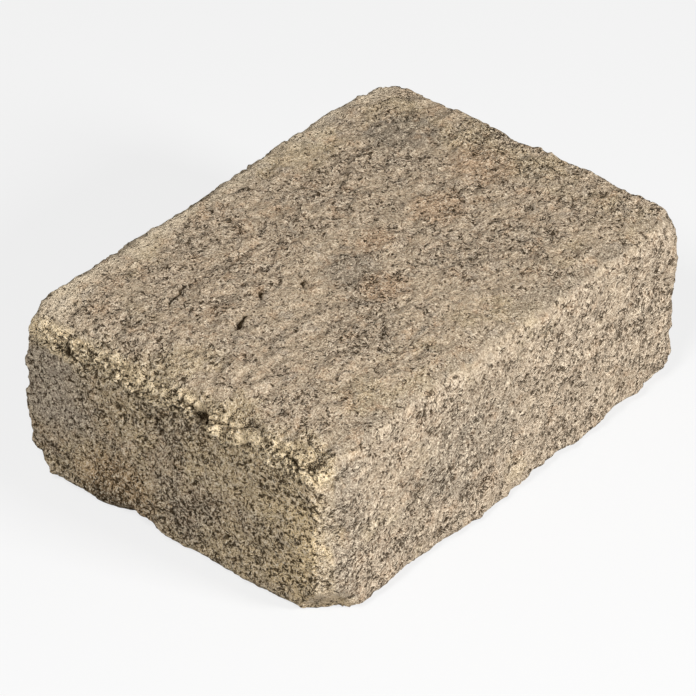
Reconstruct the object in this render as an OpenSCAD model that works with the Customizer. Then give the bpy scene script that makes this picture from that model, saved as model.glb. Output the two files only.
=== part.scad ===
// Tumbled concrete paving stone: one moulded block whose arrises were worn round
// and chipped when it was tumbled. It lies on its bed face, with its walking face up.
// The block is a loft through level sections, each a rectangle with rounded corners that
// is drawn in by the wear and pushed in by the hollows and the chips at its height.
// Millimetres, origin at the middle of the bed face, X along the length, Z up.

/* [Block] */
// Length of the moulded block
block_l = 215; // [150:1:300]
// Width of the moulded block
block_w = 155; // [110:1:220]
// Thickness of the moulded block
block_h = 80; // [50:1:120]

/* [Arrises of the walking face] */
// How far in over the walking face the wear along the front reaches
top_front_reach = 18; // [3:0.5:40]
// How far down the front that wear falls
top_front_fall = 6; // [3:0.5:16]
// Radius worn across the right end
top_right_wear = 6; // [3:0.5:14]
// Radius worn along the back
top_back_wear = 7.5; // [3:0.5:14]
// How far in over the walking face the wear across the left end reaches
top_left_reach = 34; // [3:0.5:40]
// How far down the left end that wear falls
top_left_fall = 14; // [3:0.5:16]

/* [Arrises of the bed face] */
// Radius worn along the front
bed_front_wear = 4; // [3:0.5:14]
// Radius worn across the right end
bed_right_wear = 8; // [3:0.5:14]
// Radius worn along the back
bed_back_wear = 7; // [3:0.5:14]
// Radius worn across the left end
bed_left_wear = 7; // [3:0.5:14]

/* [Upright arrises] */
// Radius worn at the front right
front_right_wear = 6.5; // [2:0.5:18]
// Radius worn at the back right
back_right_wear = 8; // [2:0.5:18]
// Radius worn at the back left
back_left_wear = 2; // [2:0.5:18]
// How far along the front the wear at the front left reaches
front_left_reach = 22; // [2:0.5:30]
// How far along the left end that wear falls back
front_left_fall = 11; // [2:0.5:18]

/* [Tumbling nicks] */
// Nicks along each arris
nick_count = 4; // [1:1:8]
// How deep the deepest nick bites past its worn arris, as a share of the lesser wear there
nick_share = 0.18; // [0.04:0.02:0.3]
// Radius of the scoop that a nick leaves
nick_r = 40; // [20:1:80]
// Scatter of the nicks
nick_seed = 7; // [1:1:99]

/* [Hollows of the sides] */
// Depth of the deepest hollow
hollow_depth = 2; // [0.5:0.1:3]
// Spacing of the hollows
hollow_gap = 22; // [16:1:40]

/* [Hidden] */

// Half sizes of the block, and the middle of its thickness
half = [block_l / 2, block_w / 2, block_h / 2];
middle = [0, 0, half.z];

// Outward directions of the four sides: front, right, back, left
sides = [[0, -1], [1, 0], [0, 1], [-1, 0]];

// Wear of the arrises in the order of the sides. A level arris has its reach over the level
// face and its fall down the side. An upright follows its side, and has its reach along that
// side and along the next.
top_wear = [
    [top_front_reach, top_front_fall],
    [top_right_wear, top_right_wear],
    [top_back_wear, top_back_wear],
    [top_left_reach, top_left_fall],
];
bed_wear = [for (r = [bed_front_wear, bed_right_wear, bed_back_wear, bed_left_wear]) [r, r]];
upright_wear = [
    [front_right_wear, front_right_wear],
    [back_right_wear, back_right_wear],
    [back_left_wear, back_left_wear],
    [front_left_fall, front_left_reach],
];

// Spacing of the points of a section along a side, and the steps round a corner
point_gap = 6;
corner_steps = 6;

// Steps of height round a worn arris, and between those of the bed face and the walking face
wear_steps = 7;
mid_steps = 10;

// Ways across the block in which the hollows repeat. Where these waves run together,
// a hollow is deep, and where they run against each other the moulded skin is left.
hollow_ways = [[1, 0.3, 0.45], [-0.35, 1, 0.55], [0.5, -0.6, 0.9]];

// How far the loft runs past the walking and bed faces, which are then cut level
overrun = 1;

// Depth of the shallowest nick, as a share of the deepest
least_nick = 0.3;

// Knocks that broke larger flakes away: the signs of the arris or corner, with 0 for the
// axis that an arris runs along, the distance along it from its middle as a share of its
// half length, how deep the knock bites in from the sharp arris, and the radius of the scoop
knocks = [
    [[-1, -1, -1], 0, 13.7, 50],
    [[1, -1, -1], 0, 9.5, 45],
    [[-1, 1, -1], 0, 10.3, 60],
    [[-1, 1, 1], 0, 10, 24],
    [[1, 1, 1], 0, 10.8, 60],
    [[1, -1, 1], 0, 8.6, 40],
    [[-1, 1, 0], 0.65, 4, 13],
    [[-1, 1, 0], -0.55, 2.6, 60],
    [[-1, 0, -1], 0.28, 6.8, 32],
    [[-1, 0, 1], 0.2, 10, 60],
    [[-1, 0, 1], -0.15, 9.8, 24],
    [[0, -1, -1], -0.58, 3.7, 150],
    [[0, -1, -1], 0.25, 3.8, 90],
    [[0, -1, -1], 0.64, 4.4, 80],
    [[0, -1, -1], 0.88, 5, 40],
    [[0, 1, 1], -0.15, 4.7, 220],
    [[0, 1, 1], 0.93, 6, 40],
    [[1, 0, 1], 0.04, 4.5, 30],
    [[1, 0, 1], -0.67, 4.2, 90],
];

// The twelve arrises: their signs and the wear on each
arrises = [
    for (i = [0:3])
        let (s = sides[i], n = sides[(i + 1) % 4])
            each [
                [[s.x, s.y, 1], top_wear[i]],
                [[s.x, s.y, -1], bed_wear[i]],
                [[s.x + n.x, s.y + n.y, 0], upright_wear[i]],
            ]
];

// The point on a sharp arris or corner, at a share of the arris's half length
function arris_point(signs, share) =
    middle + [for (i = [0:2]) (signs[i] == 0 ? share : signs[i]) * half[i]];

// A chip is the ball that its scoop leaves the print of, and the level way into the block:
// [centre, radius, way in]
function chip(signs, share, bite, r) =
    let (flat = [signs.x, signs.y])
    [arris_point(signs, share) + signs / norm(signs) * (r - bite), r, -flat / norm(flat)];

// How far the round of a worn arris lies inside the sharp one, halfway between its faces
function worn_in(wear) =
    let (p = 1 / wear[0], q = 1 / wear[1])
    sqrt(2) * (p + q - sqrt(2 * p * q)) / (p * p + q * q);

// Small nicks scattered along one arris, each past the round that is worn on it
function nicks(signs, wear, seed) =
    let (
        places = rands(-1, 1, nick_count, seed),
        depths = nick_share * min(wear) * rands(least_nick, 1, nick_count, -seed)
    )
    [
        for (i = [0:nick_count - 1])
            chip(signs, places[i], worn_in(wear) + depths[i], nick_r)
    ];

chips = [
    for (k = knocks) chip(k[0], k[1], k[2], k[3]),
    for (i = [0:len(arrises) - 1])
        each nicks(arrises[i][0], arrises[i][1], nick_seed + i),
];

// How far a side stands back at depth d from the edge of the block, where the arris is worn
// to a quarter of an ellipse
function set_back(wear, d) =
    let (rest = max(0, 1 - max(0, d) / wear[1]))
    wear[0] * (1 - sqrt(1 - rest * rest));

// How far side i stands back at height z
function inset(i, z) = set_back(bed_wear[i], z) + set_back(top_wear[i], block_h - z);

// The centre of the upright corner between side i and the next, at height z
function corner_centre(i, z) =
    let (n = (i + 1) % 4, wear = upright_wear[i])
    [
        for (k = [0:1])
            sides[i][k] * (half[k] - inset(i, z) - wear[1])
            + sides[n][k] * (half[k] - inset(n, z) - wear[0])
    ];

// The points round the corner after side i, which turns from that side to the next
function corner(i, z) =
    let (out = sides[i], on = sides[(i + 1) % 4], wear = upright_wear[i])
    [
        for (k = [0:corner_steps])
            let (turn = 90 * k / corner_steps)
                corner_centre(i, z) + wear[1] * cos(turn) * out + wear[0] * sin(turn) * on
    ];

// The points along a straight run, without its ends
function run_points(a, b, count) = [for (k = [1:count - 1]) a + (b - a) * k / count];

// The section at height z before it is hollowed and chipped
function worn_section(z) =
    let (corners = [for (i = [0:3]) corner(i, z)])
    [
        for (i = [0:3])
            let (
                count = ceil(2 * half[i % 2] / point_gap),
                before = corners[(i + 3) % 4][corner_steps]
            )
                each concat(run_points(before, corners[i][0], count), corners[i])
    ];

// How deep a hollow is at a point of the sides
function hollow(q) =
    let (waves = [for (w = hollow_ways) sin(360 * (q * w) / hollow_gap)])
    hollow_depth * max(0, waves * [1, 1, 1] / len(waves));

// A closed section at height z with its points pushed inwards by the hollows
function hollowed(section, z) =
    let (count = len(section))
    [
        for (k = [0:count - 1])
            let (
                p = section[k],
                run = section[(k + 1) % count] - section[(k + count - 1) % count]
            )
                p + hollow([p.x, p.y, z]) * [-run.y, run.x] / norm(run)
    ];

// A point of the section at height z, pushed out of one chip's ball
function out_of(p, z, chip) =
    let (
        v = p - [chip[0].x, chip[0].y],
        gap = v * v + pow(z - chip[0].z, 2) - chip[1] * chip[1],
        w = v * chip[2]
    )
    gap >= 0 ? p : p + chip[2] * (sqrt(w * w - gap) - w);

// A point of the section at height z, pushed out of every chip from the given one on
function chipped(p, z, i = 0) =
    i == len(chips) ? p : chipped(out_of(p, z, chips[i]), z, i + 1);

// The section at height z, as points in space
function section(z) =
    [for (p = hollowed(worn_section(z), z)) let (q = chipped(p, z)) [q.x, q.y, z]];

// Heights of the sections, close together where the arrises are round
levels =
    let (
        bed = max([for (wear = bed_wear) wear[1]]),
        top = max([for (wear = top_wear) wear[1]]),
        turns = [for (k = [0:wear_steps]) 1 - cos(90 * k / wear_steps)],
        climb = block_h - bed - top
    )
    [
        -overrun,
        for (t = turns) bed * t,
        for (k = [1:mid_steps - 1]) bed + climb * k / mid_steps,
        for (k = [wear_steps:-1:0]) block_h - top * turns[k],
        block_h + overrun,
    ];

// A closed loft through sections that have the same count of points, with each end closed
// by a fan round its middle
module loft(sections) {
    count = len(sections[0]);
    last = len(sections) - 1;
    top = last * count;
    bed_middle = top + count;
    top_middle = bed_middle + 1;
    points = [
        for (s = sections) each s,
        [0, 0, sections[0][0].z],
        [0, 0, sections[last][0].z],
    ];
    walls = [
        for (row = [0:count:top - 1], k = [0:count - 1])
            let (a = row + k, b = row + (k + 1) % count)
                each [[a, a + count, b], [b, a + count, b + count]]
    ];
    caps = [
        for (k = [0:count - 1])
            let (n = (k + 1) % count)
                each [[bed_middle, k, n], [top_middle, top + n, top + k]]
    ];
    polyhedron(points, concat(walls, caps));
}

// The slab between the levels of the bed face and the walking face
module level_slab() {
    translate([-block_l, -block_w, 0])
        cube([2 * block_l, 2 * block_w, block_h]);
}

module paving_stone() {
    color("#a0907a")
        intersection() {
            loft([for (z = levels) section(z)]);
            level_slab();
        }
}

paving_stone();
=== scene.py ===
"""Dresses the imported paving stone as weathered, tumbled concrete, on a pale studio floor."""

import math

import bmesh
import bpy
import numpy as np
from bpy.props import FloatProperty, FloatVectorProperty, PointerProperty
from mathutils import Matrix, Vector, noise


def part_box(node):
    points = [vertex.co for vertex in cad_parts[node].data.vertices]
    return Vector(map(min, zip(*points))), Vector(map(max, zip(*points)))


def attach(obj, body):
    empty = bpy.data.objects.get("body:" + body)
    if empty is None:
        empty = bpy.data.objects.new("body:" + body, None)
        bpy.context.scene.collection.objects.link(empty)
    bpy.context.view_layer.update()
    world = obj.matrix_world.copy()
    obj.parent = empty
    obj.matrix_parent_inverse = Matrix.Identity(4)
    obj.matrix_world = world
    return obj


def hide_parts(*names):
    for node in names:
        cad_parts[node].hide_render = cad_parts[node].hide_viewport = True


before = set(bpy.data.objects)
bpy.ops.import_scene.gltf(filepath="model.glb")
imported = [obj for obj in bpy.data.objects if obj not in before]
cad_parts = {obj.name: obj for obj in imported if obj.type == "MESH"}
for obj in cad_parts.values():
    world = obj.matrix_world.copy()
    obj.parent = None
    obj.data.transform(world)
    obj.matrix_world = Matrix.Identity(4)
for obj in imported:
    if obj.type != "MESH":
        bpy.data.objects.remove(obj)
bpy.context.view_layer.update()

bl_info = {
    "name": "Tumbled Paving Stone",
    "version": (1, 0, 0),
    "blender": (4, 5, 0),
    "location": "View3D > Sidebar > Paving",
    "description": "Sculpts and colours a tumbled paving stone and sets it on a studio floor",
    "category": "Object",
}

MM = 0.001
NODE = "paving_stone"
LOW, HIGH = (np.array(corner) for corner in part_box(NODE))

# Points of the solid that lie closer than this are one, in millimetres
WELD = 0.01

# --- Marks that are placed one by one, in millimetres from the middle of the bed face ---

# Bites out of the crust along the left arris: across the stone, up it, radius and depth
BITES = (
    (55, 68, 4.0, 2.2),
    (32, 70, 3.0, 1.8),
    (18, 70, 3.0, 1.8),
    (9, 57, 2.6, 2.0),
    (8, 52, 2.6, 2.0),
    (-1, 71, 2.6, 1.6),
    (-11, 69, 7.0, 5.4),
    (-27, 70, 3.2, 2.0),
    (-43, 70, 2.8, 1.6),
)
# Gouges in the walking face: both ends along and across the stone, half width and depth
GOUGES = (
    ((-70, 34.5), (-57.5, 37.5), 1.3, 1.6),
    ((-65.5, 4.5), (-57, 7.5), 1.4, 1.8),
    ((-17, 45), (-15, 47), 1.3, 1.2),
    ((-28, 3.5), (-25, 5), 1.3, 1.2),
    ((-45, 11), (-42, 12.5), 1.2, 1.2),
)
# Rusty stains on the walking face: middle along and across the stone, and radius
STAINS = ((80, 2, 17), (46, -4, 14), (12, 1, 12), (-8, -22, 12))
# Grey, smoother places on the walking face, given in the same way
SMEARS = ((75, 41, 19), (-9, -4, 15))
# The corner of the walking face nearest the camera: along and across the stone
NEAR_CORNER = (-98, -74)
# The brown broken place on the left end: across the stone and up it, and the scale of each axis
GASH = (30, 16)
GASH_SCALE = (1, 0.8, 1)
# The painted shadow under the broken place: across the stone and up it, and the scale upwards
UNDERCUT_SHADOW = (32, 2)
UNDERCUT_SHADOW_SCALE = 1.6
# The grey place on the front: along the stone and up it, and the scale along
FACE_SHADE = (-22, 40)
FACE_SHADE_SCALE = 0.6

# --- Spread of the marks over the stone ---

# Reach of a patch of other paste, or of painted shadow, from its arris or its middle, and how far
# its rim sways, in millimetres
PATCHES = {
    "back_band": (17, 7),
    "front_band": (12, 7),
    "near_corner": (16, 7),
    "left_margin": (16, 6),
    "gash": (20, 5),
    "undercut_shadow": (22, 5),
    "front_shade": (14, 7),
    "edge_shade": (24, 5),
    "face_shade": (26, 6),
}
# How far the rims of the other marks sway, in millimetres
STAIN_SWAY, INNER_SWAY, CRUST_SWAY, GREY_SWAY, OCHRE_SWAY = 6, 10, 2, 10, 8
# How far the crust along the left arris reaches in from the end and down from the top,
# in millimetres
CRUST_WIDE, CRUST_HIGH = 8, 19
# Where a mark goes from none to whole: on a part of the normal, on a distance or a place in
# millimetres, or on a noise
SPANS = {
    "upright": (0.95, 0.5),
    "facing": (0.3, 0.9),
    "level": (0.85, 0.98),
    "arris": (0.05, 0.2),
    "inner": (14, 34),
    "crust_wide": (CRUST_WIDE, 3.5),
    "crust_high": (CRUST_HIGH, 13),
    "undercut_shadow": (14, 6),
    "grey_across": (40, 60),
    "grey_up": (24, 36),
    "ochre_and_light": (-36, -66),
    "lip_upper": (12, 16),
    "lip_lower": (24, 18),
    "slit": (25, -5),
    "worn": (-0.2, 0.3),
    "ragged": (0.1, 0.5),
    "crumb": (0, 0.3),
    "chip": (0.1, 0.6),
}
# Noises of the relief: size in millimetres, octaves, and a shift that keeps each apart
NOISES = {
    "wander": (26, 3, (0, 0, 0)),
    "crumble": (4, 3, (4, 4, 0)),
    "bend_along": (3.2, 2, (1, 0, 0)),
    "bend_across": (3.2, 2, (0, 1, 0)),
    "bend_up": (3.2, 2, (0, 0, 1)),
    "worn": (12, 2, (0, 0, 9)),
    "ragged": (5, 3, (0, 8, 0)),
    "wave": (45, 2, (3, 0, 0)),
    "lump": (9, 3, (0, 5, 0)),
    "streak": (5, 2, (2, 2, 0)),
    "crumb": (5.5, 3, (9, 0, 0)),
    "chip": (7, 3, (6, 0, 6)),
}
# Fall of the strength and growth of the fineness from one octave to the next
OCTAVE_FALL, OCTAVE_GROWTH = 0.9, 2.1
# Share of a hollow's radius that lies at its full depth
HOLLOW_FLOOR = 0.45
# How far the rims of bites, gouges and pores are bent, in millimetres
BEND = 1.1
# Least and usual greatest radius of a pore, as shares of the spacing of the pores, the spread of
# the radii between them, and the scale of the noise that picks each
PORE_LEAST, PORE_MOST = 0.05, 0.3
PORE_SPREAD = 4
PORE_PICK = 41.3
# Share of the pores that is open everywhere, and what the left end and the sides add
PORES_EVEN, PORES_END, PORES_SIDE = 0.2, 0.7, 0.3
# Strength of the paste along the front and by the left arris, of the grey on the front, and of
# the yellow paste far from the near arris
FRONT_BAND, LEFT_MARGIN, SHADE, OCHRE_FAR = 0.6, 0.5, 0.8, 0.3
# What the smooth paste and the worn arrises take off the relief, and the sides off the lumps
PASTE_SMOOTHS, ARRIS_SMOOTHS, SIDE_SMOOTHS = 0.5, 0.7, 0.5
# Depth of the slits in the crust, at its far end and what its near end adds, and the level of the
# crumbs that leaves the arris where it is
SLIT_FAR, SLIT_NEAR, CRUMB_LEVEL = 0.7, 0.3, 0.6
# Share of painted shadow in the ragged lip under the crust
RAGGED_SHADE = 0.4
# Slope of the drag marks on the sides, and how they are squeezed along it in the relief
DRAG_SLOPE = math.radians(40)
STREAK_SQUEEZE = (0.45, 1, 1)

# --- Concrete ---

# Start of the coordinates that follow the drag marks, in metres, and their stretch
SLANT_START, SLANT_STRETCH = (0.1, 0, 0), 1.35
# Noises of the concrete: start in metres, size in millimetres, detail, roughness and twist
TEXTURES = {
    "zone": ((0.2, 0.5, 0), 30, 3, 0.6, 0),
    "cluster": ((0.9, 0, 0), 7, 3, 0.6, 0),
    "patch": ((0, 0, 0), 24, 4, 0.6, 0),
    "smudge": ((0, 0.7, 0.2), 14, 4, 0.65, 0),
    "pink": ((0.3, 0.1, 0), 7, 3, 0.6, 0),
    "blue": ((0.1, 0.3, 0.6), 6, 3, 0.6, 0),
    "grain": ((0, 0.1, 0), 0.62, 2, 0.6, 0),
    "body": ((0, 0.4, 0), 1.9, 3, 0.6, 0),
    "fine": ((0.2, 0.4, 0), 1.2, 1, 0.5, 0),
    "coarse": ((0.7, 0.4, 0), 1.45, 1, 0.5, 0),
    "opening": ((0.6, 0, 0), 2.6, 2, 0.5, 0),
    "line": ((0, 0, 0.3), 3.0, 2, 0.5, 1.2),
}
# The middle of a noise
MIDDLE = 0.5
# Where each part of the concrete goes from none to whole, on its noise
SETS_IN = {
    "wild": (-0.16, 0.14),
    "tan": (0.45, 0.60),
    "smudge": (0.50, 0.74),
    "pink": (0.53, 0.70),
    "blue": (0.54, 0.70),
    "ochre_and_light": (0.42, 0.62),
    "slate": (0.02, 0.12),
    "core": (0.30, 0.25),
    "pit": (0.40, 0.25),
    "opening": (0.64, 0.69),
    "crack": (0.06, 0.02),
    "groove": (0.10, 0.0),
    "cave_shade": (0.5, 1.0),
}
# How fully each part covers the colour under it where it is whole
COVER = {
    "tan_smooth": 0.25,
    "tan_paste": 0.5,
    "tan_crust": 0.8,
    "pale": 0.5,
    "smudge": 0.4,
    "smear": 0.8,
    "pink": 0.55,
    "stain": 0.7,
    "ochre_patch": 0.7,
    "ochre_even": 0.4,
    "grey": 0.7,
    "blue": 0.5,
    "slate_end": 0.2,
    "slate_front": 0.25,
    "crust": 0.95,
    "worn": 0.1,
    "broken": 0.9,
    "under_shadow": 0.75,
    "pit": 0.2,
    "core": 0.8,
    "crack": 0.9,
}
# What makes the concrete wild, that is open and pitted: the slow zones, the left end and the
# front, and what smooth paste and the grey place take off
WILD_ZONE, WILD_SIDES, WILD_PASTE, WILD_GREY = 0.8, 0.03, 0.3, 0.12
# What the left end adds to the tan patches, and the front takes off
PATCH_END, PATCH_FRONT = 0.06, 0.12
# How far the smudges follow the slow zones
SMUDGE_ZONE = 0.5
# How far wild concrete widens the pits, how much more on the left end, and the end by itself
PITS_WILD, PITS_WILD_END, PITS_END = 0.05, 0.03, 0.055
# How far wild concrete opens the cracks, and how much paler they are on the front
CRACKS_WILD, CRACKS_FRONT = 0.14, 0.1
# How ragged the grain makes the rim of the painted shade in a hollow
CAVE_RAGGED = 1.5
# Shares of the noises in the tone of the grains, which is grain colour and also painted light and
# shade in step with the relief of the bump, and its contrast: everywhere, and what wild concrete
# and the left end add; the left end's share paints relief shading that its lamps give too weakly
TONE = {"grain": 0.6, "body": 0.2, "knob": 0.2}
CONTRAST = {"even": 5.5, "wild": 2.0, "end": 3.0}
# Heights of the bump in millimetres, and what the left end adds to them
BUMP = {"grain": 1.2, "body": 1.6, "pit": 0.7, "groove": 0.7}
BUMP_END = 0.5
# How matt the concrete is, and how little it shines
ROUGHNESS, SHINE = 0.92, 0.03

# --- Stage ---

WHITE = (1.0, 1.0, 1.0, 1.0)
# Ways from the stone to the lamps
KEY_WAY, FILL_WAY = (0.12, -0.86, 0.50), (-0.62, -0.20, 0.76)
# Width of the camera's sensor in millimetres, and how far the camera sees in metres
SENSOR, SIGHT = 36, 100
# Half the side of the floor, in metres
FLOOR_HALF = 3


def length(name, description, default_mm):
    """A length property, given in millimetres and kept in metres."""
    return FloatProperty(
        name=name, description=description, default=default_mm * MM, unit="LENGTH", precision=5
    )


def angle(name, description, degrees):
    """An angle property, given in degrees."""
    return FloatProperty(
        name=name, description=description, default=math.radians(degrees), subtype="ANGLE"
    )


def power(name, description, watts):
    """The power of a lamp."""
    return FloatProperty(name=name, description=description, default=watts, unit="POWER")


def share(name, description, default):
    """A plain factor from 0 to 1."""
    return FloatProperty(
        name=name, description=description, default=default, min=0, max=1, subtype="FACTOR"
    )


def tint(name, description, default):
    """A colour in linear light."""
    return FloatVectorProperty(
        name=name, description=description, default=default, size=3, min=0, max=1, subtype="COLOR"
    )


class StoneSettings(bpy.types.PropertyGroup):
    """Relief and colours of the concrete."""

    voxel: length("Mesh Size", "Edge length of the sculpted mesh", 1.22)
    wave: length("Waves", "Height of the slow waves of the walking face", 0.4)
    lump: length("Lumps", "Height of the lumps of coarse aggregate under the paste", 0.9)
    grain: length("Grain", "Height of the sandy grain", 1.3)
    streak: length("Streaks", "Height of the slanting drag marks on the sides", 1.1)
    pit_cell: length("Pit Spacing", "Spacing of the open pores", 7.0)
    pit_depth: length("Pit Depth", "Depth of the open pores", 1.2)
    crust: length("Crust", "Height of the crumbs in the crust along the left arris", 2.6)
    chip: length("Chips", "Depth of the small chips along the arrises", 1.2)
    mauve: tint("Mauve", "Cement paste with pinkish grey sand", (0.47, 0.365, 0.262))
    tan: tint("Tan", "Yellower paste", (0.50, 0.39, 0.25))
    pink: tint("Rust", "Rusty pink sand", (0.47, 0.31, 0.19))
    # Also the painted highlight on the worn arrises
    straw: tint("Straw", "Crust along the left arris", (0.93, 0.74, 0.47))
    # Also painted light on the left end by the near arris
    ochre_and_light: tint("Ochre", "Yellow paste of the left end", (0.86, 0.65, 0.37))
    slate: tint("Slate", "Grey, smoother paste", (0.40, 0.34, 0.275))
    smudge: tint("Smudge", "Weathered dark patches", (0.27, 0.22, 0.165))
    # Also painted highlights on the high side of the relief
    cream: tint("Cream", "Pale grains", (0.80, 0.68, 0.51))
    # Also painted shade on the low side of the relief, and the painted shadow under the broken
    # place
    umber: tint("Umber", "Dark grains and shallow pits", (0.13, 0.09, 0.05))
    # Painted shade in the open pores, the cracks and the hollows
    pore_shade: tint("Pores", "Dirt in the open pores", (0.035, 0.022, 0.01))
    earth: tint("Broken", "Brown sand where a flake broke away", (0.52, 0.35, 0.19))


class StageSettings(bpy.types.PropertyGroup):
    """Camera, lamps and floor."""

    azimuth: angle("Azimuth", "Turn of the camera round the stone", -49.851)
    elevation: angle("Elevation", "Height of the camera above the horizon", 36.285)
    distance: length("Distance", "From the middle of the bed face to the camera's plane", 1844.8)
    aside: length("Aside", "Camera's shift to its right", -3.64)
    above: length("Above", "Camera's shift upwards", 28.58)
    lens: FloatProperty(
        name="Lens", description="Focal length of the camera", default=240.96, unit="CAMERA"
    )
    key: power("Key Lamp", "Power of the soft lamp before the front", 27.3)
    fill: power("Fill Lamp", "Power of the soft lamp above the left end", 19.0)
    lamp_size: length("Lamp Size", "Side of the square lamps", 400)
    lamp_reach: length("Lamp Reach", "From the stone to the lamps", 1600)
    sky: share("Sky", "Strength of the even light from all round", 0.14)
    floor: tint("Floor", "Colour of the floor", (0.6, 0.6, 0.6))
    floor_glow: share("Floor Glow", "Share of plain white in the floor that the camera sees", 0.75)


class Wire:
    """A socket of a material's node tree. Arithmetic on it adds Math nodes."""

    def __init__(self, tree, socket=None):
        self.tree = tree
        self.socket = socket

    def node(self, kind, settings, inputs, output=0):
        """Adds a node: its settings first, then the values or links of its sockets."""
        made = self.tree.nodes.new(kind)
        for name, value in settings.items():
            setattr(made, name, value)
        for name, value in inputs.items():
            if isinstance(value, Wire):
                self.tree.links.new(value.socket, made.inputs[name])
            else:
                made.inputs[name].default_value = value
        return Wire(self.tree, made.outputs[output] if made.outputs else None)

    def maths(self, operation, first, second):
        return self.node("ShaderNodeMath", {"operation": operation}, {0: first, 1: second})

    def __add__(self, other):
        return self.maths("ADD", self, other)

    __radd__ = __add__

    def __sub__(self, other):
        return self.maths("SUBTRACT", self, other)

    def __rsub__(self, other):
        return self.maths("SUBTRACT", other, self)

    def __mul__(self, other):
        return self.maths("MULTIPLY", self, other)

    __rmul__ = __mul__

    def __abs__(self):
        return self.node("ShaderNodeMath", {"operation": "ABSOLUTE"}, {0: self})

    def most(self, other):
        return self.maths("MAXIMUM", self, other)

    def rise(self, low, high):
        """0 below low, 1 above high, and smooth between. Low may be above high."""
        return self.node(
            "ShaderNodeMapRange",
            {"interpolation_type": "SMOOTHSTEP"},
            {"Value": self, "From Min": low, "From Max": high},
        )

    def noise(self, size, detail, rough, twist):
        """Noise with features of a size in millimetres, on this wire's coordinates."""
        shape = {"Detail": detail, "Roughness": rough, "Distortion": twist}
        scale = 1 / (size * MM)
        return self.node("ShaderNodeTexNoise", {}, {"Vector": self, "Scale": scale, **shape})

    def stretched(self, offset, turn=0.0, along=1.0):
        """These coordinates moved, and a pattern on them drawn out along X turned up towards Z."""
        move = {"Location": offset, "Rotation": (0, -turn, 0), "Scale": (along, 1, 1)}
        return self.node("ShaderNodeMapping", {"vector_type": "TEXTURE"}, {"Vector": self, **move})

    def between(self, first, second):
        """The first colour where this value is 0, the second where it is 1."""
        settings = {"data_type": "RGBA", "clamp_factor": True}
        return self.node("ShaderNodeMix", settings, {0: self, 6: first, 7: second}, 2)


def rgba(colour):
    return (*colour, 1.0)


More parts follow.
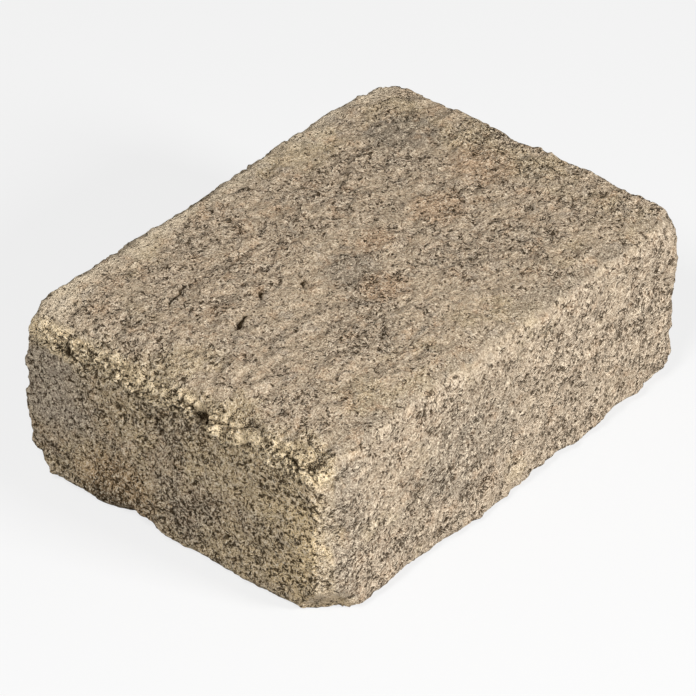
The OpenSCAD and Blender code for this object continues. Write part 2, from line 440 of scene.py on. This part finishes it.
def concrete(look):
    """Matt, gritty concrete with patches of mauve and tan paste, and pits in clusters."""
    material = bpy.data.materials.new("tumbled_concrete")
    material.use_nodes = True
    tree = material.node_tree
    tree.nodes.clear()
    start = Wire(tree)
    place = start.node("ShaderNodeTexCoord", {}, {}, "Object")
    slant = place.stretched(SLANT_START, DRAG_SLOPE, SLANT_STRETCH)

    def mask(name):
        return start.node("ShaderNodeAttribute", {"attribute_name": name}, {}, "Fac")

    def even(name):
        """Noise that is the same on all faces."""
        offset, *shape = TEXTURES[name]
        return place.stretched(offset).noise(*shape)

    def dragged(name):
        """Noise that is even on most faces, and drawn out along the drag marks on the front."""
        offset, *shape = TEXTURES[name]
        plain, drawn = (way.stretched(offset).noise(*shape) for way in (place, slant))
        return plain + (drawn - plain) * front

    def painted(colour, coats):
        """A colour with one coat after another over it."""
        for cover, paint in coats:
            colour = cover.between(colour, rgba(paint))
        return colour

    hollow, paste, inner, crust, broken, stain, smear = map(
        mask, ("hollow", "paste", "inner", "crust", "broken", "stain", "smear")
    )
    grey, ochre_and_light, worn, pale, under_shadow, front, end = map(
        mask, ("grey", "ochre_and_light", "worn", "pale", "under_shadow", "front", "end")
    )

    zone, cluster = even("zone") - MIDDLE, even("cluster") - MIDDLE
    wild = cluster + zone * WILD_ZONE + end * WILD_SIDES + front * WILD_SIDES
    wild = (wild - paste * WILD_PASTE - grey * WILD_GREY).rise(*SETS_IN["wild"])
    patch = even("patch") + end * PATCH_END - front * PATCH_FRONT
    tan = (patch.rise(*SETS_IN["tan"]) * (1 - inner)).most((1 - wild) * COVER["tan_smooth"])
    tan = tan.most(paste * COVER["tan_paste"]).most(crust * COVER["tan_crust"])
    smudge = (even("smudge") + zone * SMUDGE_ZONE).rise(*SETS_IN["smudge"]) * (1 - paste)
    pink = even("pink").rise(*SETS_IN["pink"]) * COVER["pink"]
    yellow_and_light = ochre_and_light * (patch.rise(*SETS_IN["ochre_and_light"]) * COVER["ochre_patch"] + COVER["ochre_even"])
    blue = even("blue").rise(*SETS_IN["blue"]) * COVER["blue"]
    slate = (grey * COVER["grey"]).most(end * zone.rise(*SETS_IN["slate"]) * COVER["slate_end"])
    slate = slate.most(blue).most(front * COVER["slate_front"])
    # The colour patches, with painted light in the ochre by the near arris and on the worn arrises,
    # and a painted shadow under the broken place
    colour = painted(
        tan.between(rgba(look.mauve), rgba(look.tan)),
        (
            (pale * COVER["pale"], look.cream),
            (smudge * COVER["smudge"] + smear * COVER["smear"], look.smudge),
            (pink.most(stain * COVER["stain"]), look.pink),
            (yellow_and_light, look.ochre_and_light),
            (slate, look.slate),
            ((crust * COVER["crust"]).most(worn * COVER["worn"]), look.straw),
            (broken * COVER["broken"], look.earth),
            (under_shadow * COVER["under_shadow"], look.umber),
        ),
    )

    grain, body, fine = dragged("grain"), dragged("body"), dragged("fine")
    knob = fine + (even("coarse") - fine) * end
    low = knob - wild * (end * PITS_WILD_END + PITS_WILD) - end * PITS_END
    core, pit = low.rise(*SETS_IN["core"]) * COVER["core"], low.rise(*SETS_IN["pit"])
    opening = (dragged("opening") + wild * CRACKS_WILD).rise(*SETS_IN["opening"])
    line = abs(dragged("line") - MIDDLE)
    crack = line.rise(*SETS_IN["crack"]) * opening * (COVER["crack"] - front * CRACKS_FRONT)
    groove = line.rise(*SETS_IN["groove"]) * opening
    # Painted shade in the hollows, with a rim made ragged by the grain
    cave_shade = (hollow + (grain - MIDDLE) * CAVE_RAGGED).rise(*SETS_IN["cave_shade"])
    # The grains are paler on the high places of the relief and darker in the low ones: grain
    # colour, and painted light and shade
    tone_and_shade = grain * TONE["grain"] + body * TONE["body"] + knob * TONE["knob"] - MIDDLE
    tone_and_shade = tone_and_shade * (wild * CONTRAST["wild"] + end * CONTRAST["end"] + CONTRAST["even"])
    # Over it the grains, with painted light and shade, then painted shade in the pits, cracks and
    # hollows
    colour = painted(
        colour,
        (
            (tone_and_shade, look.cream),
            ((0 - tone_and_shade).most(pit * COVER["pit"]), look.umber),
            (core.most(crack).most(cave_shade), look.pore_shade),
        ),
    )

    height = grain * BUMP["grain"] + body * BUMP["body"]
    height = height - pit * BUMP["pit"] - groove * BUMP["groove"]
    height = height * (end * BUMP_END + 1)
    bump = start.node("ShaderNodeBump", {}, {"Strength": 1.0, "Distance": MM, "Height": height})
    finish = {"Roughness": ROUGHNESS, "Specular IOR Level": SHINE}
    shader = start.node(
        "ShaderNodeBsdfPrincipled", {}, {"Base Color": colour, "Normal": bump, **finish}
    )
    start.node("ShaderNodeOutputMaterial", {}, {"Surface": shader})
    return material


def smooth_step(low, high, value):
    t = np.clip((value - low) / (high - low), 0, 1)
    return t * t * (3 - 2 * t)


def span(name, value):
    """0 before a mark sets in, 1 where it is whole, and smooth between."""
    return smooth_step(*SPANS[name], value)


def scoop(gap, radius):
    """1 in the middle of a hollow, falling steeply to 0 at its rim."""
    return smooth_step(radius, radius * HOLLOW_FLOOR, gap)


def fractal(name, spots):
    """Fractal noise of about -1 to 1 at each spot."""
    size, octaves, shift = NOISES[name]
    move = Vector(shift)
    return np.array(
        [noise.fractal(Vector(p) / size + move, OCTAVE_FALL, OCTAVE_GROWTH, octaves) for p in spots]
    )


def pores(spots, cell):
    """How deep each spot lies in the nearest of the bubbles that fill space, from 0 to 1."""
    depth = np.zeros(len(spots))
    for i, p in enumerate(spots):
        gaps, middles = noise.voronoi(Vector(p) / cell)
        for gap, middle in zip(gaps, middles):
            pick = noise.noise(middle * PORE_PICK)
            radius = PORE_LEAST + (PORE_MOST - PORE_LEAST) * pick**2 * PORE_SPREAD
            if gap < radius:
                depth[i] = max(depth[i], 1 - (gap / radius) ** 2)
    return depth


class Skin:
    """The vertices of the sculpted mesh, and what lies where on the stone, in millimetres."""

    def __init__(self, mesh):
        self.points, self.normals = self.read(mesh, "co"), self.read(mesh, "normal")
        self.spots = self.points / MM
        self.x, self.y, self.z = self.spots.T
        self.low, high = LOW / MM, HIGH / MM
        self.from_left, self.from_right = self.x - self.low[0], high[0] - self.x
        self.from_front, self.from_back = self.y - self.low[1], high[1] - self.y
        self.from_top = high[2] - self.z

        along, across, up = self.normals.T
        self.side = span("upright", np.abs(up))
        self.end, self.front = span("facing", -along), span("facing", -across)
        self.level = span("level", up)
        self.arris = span("arris", 1 - np.abs(self.normals).max(axis=1))

        self.wander, self.crumble = self.field("wander"), self.field("crumble")
        bends = [self.field(name) for name in ("bend_along", "bend_across", "bend_up")]
        self.bent = self.spots + BEND * np.c_[bends].T
        self.crust = span("crust_wide", self.from_left + self.crumble)
        self.crust *= span("crust_high", self.from_top + self.wander * CRUST_SWAY)

    def read(self, mesh, name):
        """The place or the normal of every vertex, a row for each."""
        values = np.zeros(len(mesh.vertices) * 3)
        mesh.vertices.foreach_get(name, values)
        return values.reshape(-1, 3)

    def field(self, name):
        return fractal(name, self.spots)

    def patch(self, name, gap):
        """A patch with a swaying rim, at a distance from its arris or its middle."""
        reach, sway = PATCHES[name]
        return scoop(gap + self.wander * sway, reach)

    def spots_on_top(self, places):
        """Round patches with swaying rims on the walking face."""
        sway = self.wander * STAIN_SWAY
        rounds = [scoop(np.hypot(self.x - a, self.y - b) + sway, r) for a, b, r in places]
        return self.level * np.maximum.reduce(rounds)

    def pastes(self):
        """Masks of the places where the colour of the concrete differs, and where light and shade
        are painted.
        """
        x, y, z, flat = self.x, self.y, self.z, 1 - self.side
        pale = self.patch("back_band", self.from_back) * flat
        bands = FRONT_BAND * self.patch("front_band", self.from_front) + pale
        corner = self.patch("near_corner", np.hypot(x - NEAR_CORNER[0], y - NEAR_CORNER[1]))
        margin = LEFT_MARGIN * self.patch("left_margin", self.from_left)
        paste = np.clip(np.maximum.reduce([bands, corner, margin]), 0, 1) * self.level
        rim = np.minimum.reduce([self.from_left, self.from_right, self.from_front, self.from_back])

        from_gash = (self.spots - (self.low[0], *GASH)) * GASH_SCALE
        under_shadow = np.hypot(y - UNDERCUT_SHADOW[0], (z - UNDERCUT_SHADOW[1]) * UNDERCUT_SHADOW_SCALE)
        face = np.hypot((x - FACE_SHADE[0]) * FACE_SHADE_SCALE, z - FACE_SHADE[1])
        shades = [
            self.patch("front_shade", self.from_front) * flat,
            self.patch("edge_shade", self.from_left) * self.front,
            self.patch("face_shade", face) * self.front,
        ]
        grey = self.end * span("grey_across", y + self.wander * GREY_SWAY) * span("grey_up", z)
        ochre_and_light = np.maximum(OCHRE_FAR, span("ochre_and_light", y + self.wander * OCHRE_SWAY))
        return {
            "paste": paste * (1 - self.crust),
            "inner": self.level * span("inner", rim + self.wander * INNER_SWAY),
            "crust": self.crust,
            "broken": self.patch("gash", np.linalg.norm(from_gash, axis=1)),
            # Painted shadow under the broken place on the left end
            "under_shadow": self.patch("undercut_shadow", under_shadow) * span("undercut_shadow", self.from_left),
            "stain": self.spots_on_top(STAINS),
            "smear": np.maximum(self.spots_on_top(SMEARS), SHADE * np.maximum.reduce(shades)),
            "grey": grey,
            # Yellow paste of the left end, paler by the near arris as painted light
            "ochre_and_light": self.end * ochre_and_light * (1 - grey),
            # Paler arrises: wear, and a painted highlight
            "worn": self.arris * span("worn", self.field("worn")),
            "pale": pale,
            "front": self.front,
            "end": self.end,
        }

    def cuts(self):
        """The bites and gouges that are placed one by one: a mask, and depths in millimetres."""
        prints = []
        for across, up, radius, depth in BITES:
            gap = np.linalg.norm(self.bent - (self.low[0], across, up), axis=1)
            prints.append((scoop(gap, radius), depth))
        flat = self.bent[:, :2]
        for begin, stop, radius, depth in GOUGES:
            run = np.subtract(stop, begin)
            along = np.clip((flat - begin) @ run / (run @ run), 0, 1)
            gap = np.linalg.norm(flat - begin - along[:, None] * run, axis=1)
            prints.append((self.level * scoop(gap, radius), depth))
        mask = np.maximum.reduce([mark for mark, depth in prints])
        return mask, np.maximum.reduce([mark * depth for mark, depth in prints])


class PAVING_OT_stone(bpy.types.Operator):
    """Sculpt the stone over its solid and give it its concrete"""

    bl_idname = "paving.stone"
    bl_label = "Paving Stone"

    def execute(self, context):
        look = context.scene.paving_stone
        stone = self.cast(context, look.voxel)
        self.sculpt(stone.data, look)
        stone.data.materials.append(concrete(look))
        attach(stone, "root")
        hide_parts(NODE)
        return {"FINISHED"}

    def cast(self, context, voxel):
        """A copy of the solid with an even, fine mesh, twice as fine along the crust."""
        shell = bmesh.new()
        shell.from_mesh(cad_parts[NODE].data)
        bmesh.ops.remove_doubles(shell, verts=shell.verts, dist=WELD * MM)
        mesh = bpy.data.meshes.new("tumbled_stone")
        shell.to_mesh(mesh)
        shell.free()
        stone = bpy.data.objects.new("tumbled_stone", mesh)
        context.scene.collection.objects.link(stone)
        context.view_layer.objects.active = stone
        mesh.remesh_voxel_size = voxel
        bpy.ops.object.voxel_remesh()
        fine = bmesh.new()
        fine.from_mesh(stone.data)
        along, above = LOW[0] + CRUST_WIDE * MM, HIGH[2] - CRUST_HIGH * MM
        edges = [e for e in fine.edges if all(v.co.x < along and v.co.z > above for v in e.verts)]
        bmesh.ops.subdivide_edges(fine, edges=edges, cuts=1, use_grid_fill=True)
        fine.to_mesh(stone.data)
        fine.free()
        stone.data.polygons.foreach_set("use_smooth", [True] * len(stone.data.polygons))
        return stone

    def sculpt(self, mesh, look):
        """Moves each vertex along its normal, and marks where the concrete differs and where light
        and shade are painted.
        """
        skin = Skin(mesh)
        masks = skin.pastes()
        paste, crust, end, side = masks["paste"], skin.crust, skin.end, skin.side

        bite, cut = skin.cuts()
        pore = pores(skin.bent, look.pit_cell / MM)
        open_share = PORES_EVEN + PORES_END * end + PORES_SIDE * side + skin.wander
        pore *= np.clip(open_share, 0, 1) * (1 - paste)
        lip = span("lip_upper", skin.from_top) * span("lip_lower", skin.from_top) * end
        ragged = lip * span("ragged", skin.field("ragged"))
        crumb = span("crumb", np.abs(skin.field("crumb")))
        slit = SLIT_FAR + SLIT_NEAR * span("slit", skin.y)
        # Painted shade in the bites and gouges, the pores, the ragged lip under the crust and the
        # slits between its crumbs
        hollows = [bite, pore, ragged * RAGGED_SHADE, crust * (1 - crumb) * slit]
        masks["hollow"] = np.maximum.reduce(hollows)

        rough = (1 - PASTE_SMOOTHS * paste) * (1 - ARRIS_SMOOTHS * skin.arris)
        rise, run = math.sin(DRAG_SLOPE), math.cos(DRAG_SLOPE)
        drawn = np.c_[skin.x * run + skin.z * rise, skin.y, skin.z * run - skin.x * rise]
        height = look.wave * skin.level * skin.field("wave")
        height += look.lump * rough * (1 - SIDE_SMOOTHS * side) * skin.field("lump")
        height += look.grain * rough * skin.crumble
        height += look.streak * rough * side * fractal("streak", drawn * STREAK_SQUEEZE)
        height += look.crust * crust * slit * (crumb - CRUMB_LEVEL)
        height -= look.chip * skin.arris * span("chip", skin.field("chip"))
        height -= look.pit_depth * np.maximum(pore, ragged) + cut * MM
        points = skin.points + skin.normals * height[:, None]
        points[:, 2] = np.maximum(points[:, 2], LOW[2])
        mesh.vertices.foreach_set("co", points.ravel())
        mesh.update()
        for name, values in masks.items():
            layer = mesh.attributes.new(name, "FLOAT", "POINT")
            layer.data.foreach_set("value", values.astype(np.float32))


class PAVING_OT_stage(bpy.types.Operator):
    """Set the camera, the lamps and the pale floor"""

    bl_idname = "paving.stage"
    bl_label = "Studio Stage"

    def execute(self, context):
        scene = context.scene
        stage = scene.paving_stage
        scene.view_settings.view_transform = "Standard"
        self.camera(scene, stage)
        self.lamp(scene, stage, "key_lamp", stage.key, KEY_WAY)
        self.lamp(scene, stage, "fill_lamp", stage.fill, FILL_WAY)
        self.sky(scene, stage)
        self.floor(scene, stage)
        return {"FINISHED"}

    def camera(self, scene, stage):
        turn, climb = stage.azimuth, stage.elevation
        level = math.cos(climb)
        back = Vector((math.sin(turn) * level, -math.cos(turn) * level, math.sin(climb)))
        right = Vector((math.cos(turn), math.sin(turn), 0))
        up = back.cross(right)
        camera = bpy.data.objects.new("camera", bpy.data.cameras.new("camera"))
        camera.data.lens = stage.lens
        camera.data.sensor_width = SENSOR
        camera.data.clip_end = SIGHT
        axes = Matrix((right, up, back)).transposed().to_4x4()
        stand = back * stage.distance + right * stage.aside + up * stage.above
        camera.matrix_world = Matrix.Translation(stand) @ axes
        scene.collection.objects.link(camera)
        scene.camera = camera

    def lamp(self, scene, stage, name, power, way):
        data = bpy.data.lights.new(name, "AREA")
        data.energy = power
        data.size = stage.lamp_size
        lamp = bpy.data.objects.new(name, data)
        towards = Vector(way).normalized()
        turn = towards.to_track_quat("Z", "Y").to_matrix().to_4x4()
        lamp.matrix_world = Matrix.Translation(towards * stage.lamp_reach) @ turn
        scene.collection.objects.link(lamp)

    def sky(self, scene, stage):
        """Even light from all round, which the camera sees as plain white."""
        world = bpy.data.worlds.new("studio")
        scene.world = world
        world.use_nodes = True
        world.node_tree.nodes.clear()
        start = Wire(world.node_tree)
        light = start.node("ShaderNodeBackground", {}, {"Color": WHITE, "Strength": stage.sky})
        plain = start.node("ShaderNodeBackground", {}, {"Color": WHITE, "Strength": 1.0})
        mixed = start.node("ShaderNodeMixShader", {}, {0: self.seen(start), 1: light, 2: plain})
        start.node("ShaderNodeOutputWorld", {}, {"Surface": mixed})

    def floor(self, scene, stage):
        """A matt floor that looks nearly white to the camera, and keeps the shadow."""
        slab = bmesh.new()
        bmesh.ops.create_grid(slab, x_segments=1, y_segments=1, size=FLOOR_HALF)
        bmesh.ops.translate(slab, verts=slab.verts, vec=(0, 0, LOW[2]))
        mesh = bpy.data.meshes.new("floor")
        slab.to_mesh(mesh)
        slab.free()
        floor = bpy.data.objects.new("floor", mesh)
        scene.collection.objects.link(floor)
        material = bpy.data.materials.new("studio_floor")
        material.use_nodes = True
        material.node_tree.nodes.clear()
        start = Wire(material.node_tree)
        matt = start.node("ShaderNodeBsdfDiffuse", {}, {"Color": rgba(stage.floor)})
        glow = start.node("ShaderNodeEmission", {}, {"Color": WHITE, "Strength": 1.0})
        white = self.seen(start) * stage.floor_glow
        mixed = start.node("ShaderNodeMixShader", {}, {0: white, 1: matt, 2: glow})
        start.node("ShaderNodeOutputMaterial", {}, {"Surface": mixed})
        mesh.materials.append(material)

    def seen(self, start):
        """1 for what the camera sees, straight or in a reflection."""
        kinds = ("Camera", "Glossy", "Transmission")
        rays = [start.node("ShaderNodeLightPath", {}, {}, f"Is {kind} Ray") for kind in kinds]
        return rays[0].most(rays[1]).most(rays[2])


class PAVING_PT_panel(bpy.types.Panel):
    """Lists the steps that build the scene"""

    bl_idname = "PAVING_PT_panel"
    bl_label = "Tumbled Paving Stone"
    bl_space_type = "VIEW_3D"
    bl_region_type = "UI"
    bl_category = "Paving"

    def draw(self, context):
        steps = (("paving_stone", PAVING_OT_stone), ("paving_stage", PAVING_OT_stage))
        for settings, operator in steps:
            box = self.layout.box()
            group = getattr(context.scene, settings)
            for name in group.__annotations__:
                box.prop(group, name)
            box.operator(operator.bl_idname)


CLASSES = (StoneSettings, StageSettings, PAVING_OT_stone, PAVING_OT_stage, PAVING_PT_panel)


def register():
    for cls in CLASSES:
        bpy.utils.register_class(cls)
    bpy.types.Scene.paving_stone = PointerProperty(type=StoneSettings)
    bpy.types.Scene.paving_stage = PointerProperty(type=StageSettings)


def unregister():
    del bpy.types.Scene.paving_stone
    del bpy.types.Scene.paving_stage
    for cls in reversed(CLASSES):
        bpy.utils.unregister_class(cls)


def main():
    register()
    bpy.ops.paving.stage()
    bpy.ops.paving.stone()


if __name__ == "__main__":
    main()
